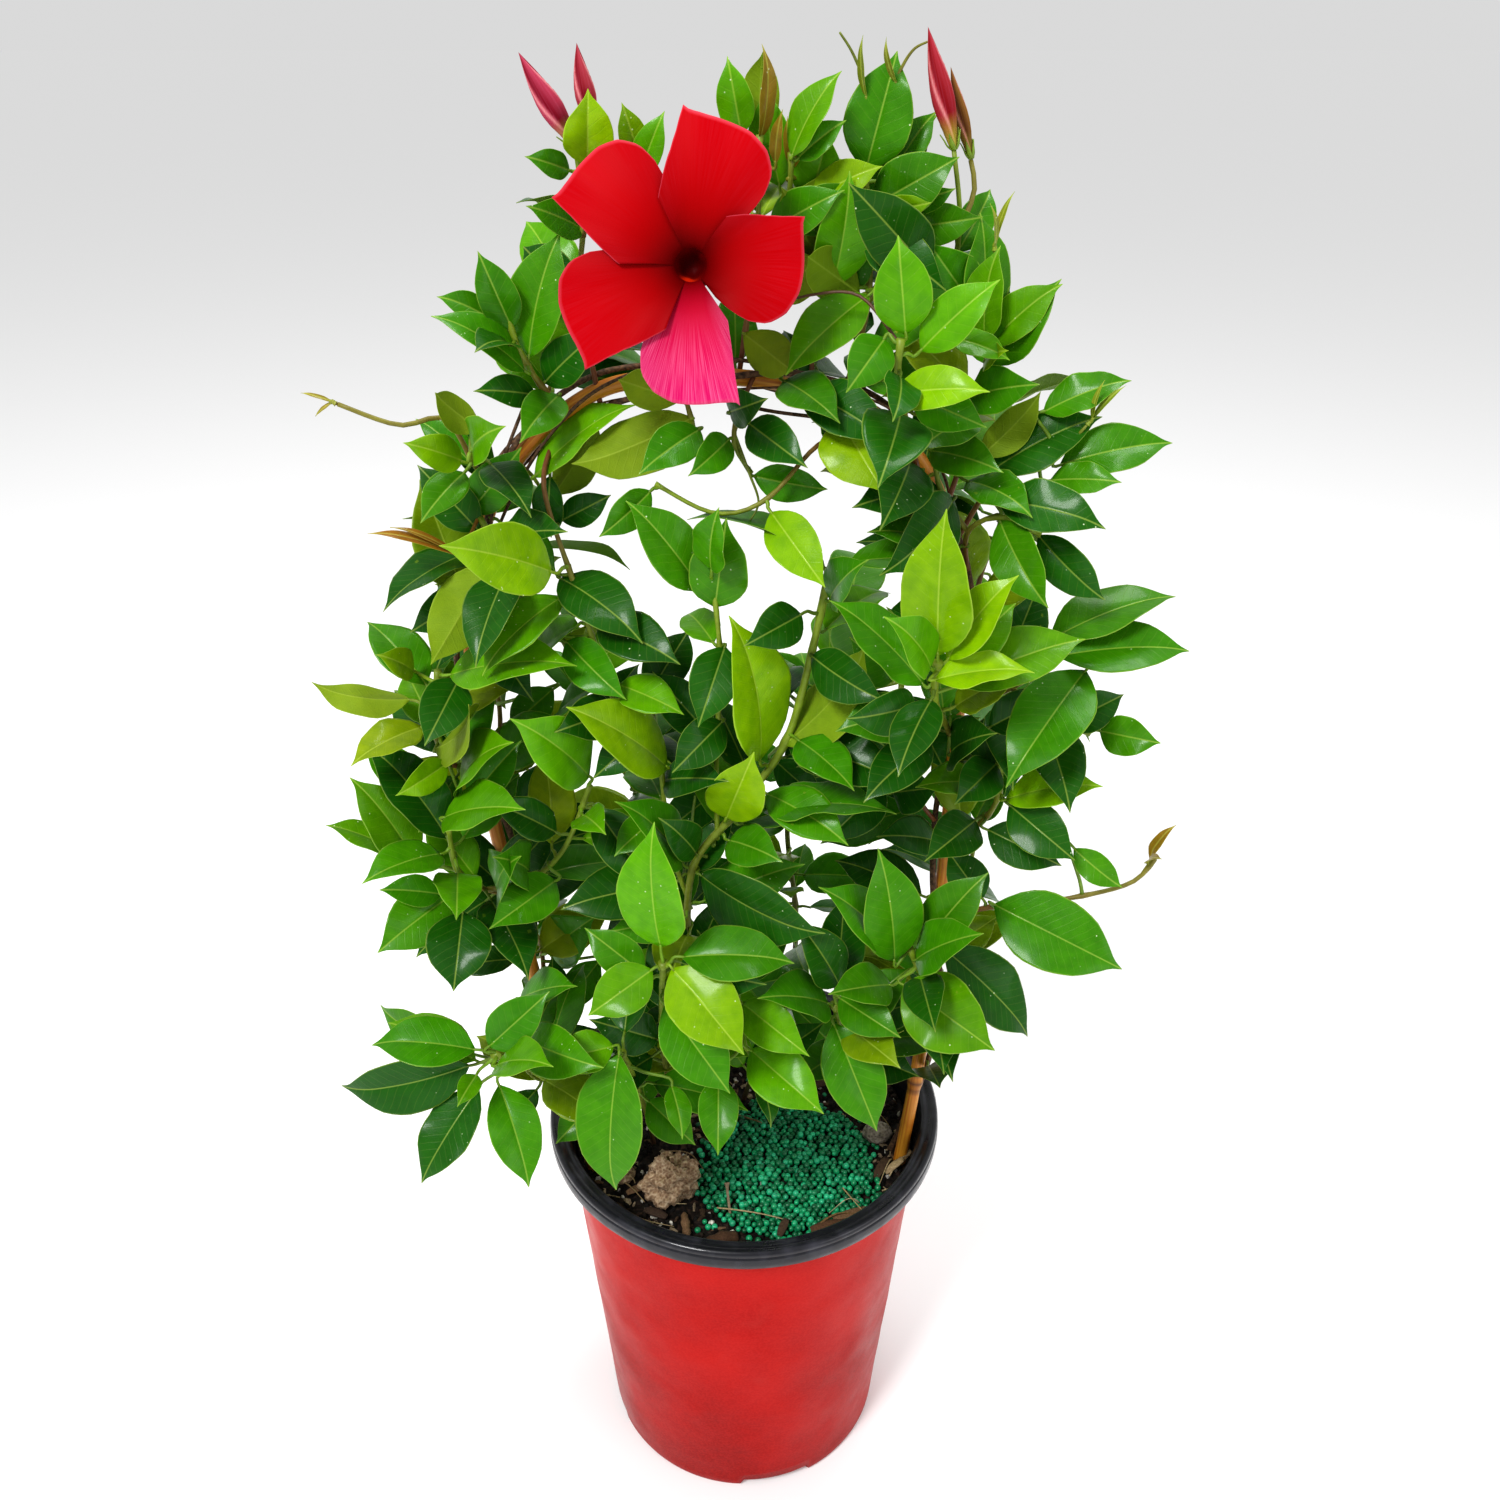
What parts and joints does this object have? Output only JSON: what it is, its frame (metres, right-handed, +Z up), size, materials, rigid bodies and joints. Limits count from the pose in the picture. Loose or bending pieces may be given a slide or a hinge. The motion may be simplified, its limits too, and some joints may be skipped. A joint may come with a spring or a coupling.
{
  "type": "potted dipladenia",
  "caption": "Flowering dipladenia vine trained over a cane hoop in a round tapered nursery pot of potting mix with fertiliser prills.",
  "frame": {"origin": "centre of the pot's flat base, on the surface that it stands on", "axes": "+Z up along the pot's axis; -Y is the front, towards the viewer of the flower; +X to the right"},
  "size_m": [0.386, 0.2497, 0.746],
  "materials": {
    "pot_plastic": "satin thermoformed red plastic, black inside and on the rolled lip",
    "potting_mix": "rough, crumbly, matte",
    "prill": "smooth satin beads",
    "stone": "pitted, matte",
    "bark": "rough bark",
    "cane": "smooth cane with darker joints",
    "woody_stem": "thin brown bark",
    "leaf": "waxy gloss above, matte below",
    "petal": "velvety red",
    "bud": "satin"
  },
  "bodies": {
    "root": {"pot": "pot_plastic", "soil": "potting_mix", "prills": "prill", "rock_tan": "stone", "pebble_grey": "stone", "pebble_pale": "stone", "bark_chip": "bark", "twig": "bark", "hoop": "cane", "right_vine": "woody_stem", "left_vine": "woody_stem", "low_left": "leaf", "left_middle": "leaf", "left_far": "leaf", "left_upper": "leaf", "left_hang": "leaf", "left_shoulder": "leaf", "top_left": "leaf", "top_left_spray": "leaf", "flower_stalk": "leaf", "top_middle": "leaf", "top_right": "leaf", "top_right_spray": "leaf", "right_crown": "leaf", "right_shoulder": "leaf", "right_reach": "leaf", "right_bend": "leaf", "right_lime": "leaf", "right_far": "leaf", "right_middle": "leaf", "right_long": "leaf", "right_low": "leaf", "right_inner": "leaf", "centre_main": "leaf", "arch_arc": "leaf", "arch_right": "leaf", "centre_upper": "leaf", "centre_left": "leaf", "arch_left_hang": "leaf", "arch_right_hang": "leaf", "low_tall": "leaf", "low_centre": "leaf", "low_front": "leaf", "low_right": "leaf", "back_low_left": "leaf", "back_left": "leaf", "back_top_left": "leaf", "back_top_right": "leaf", "back_right": "leaf", "back_right_middle": "leaf", "back_low_right": "leaf", "back_tall": "leaf", "back_wide": "leaf", "flower": "petal", "bud_left_long": "bud", "bud_left_short": "bud", "bud_right_red": "bud", "bud_right_brown": "bud"}
  },
  "joints": []
}
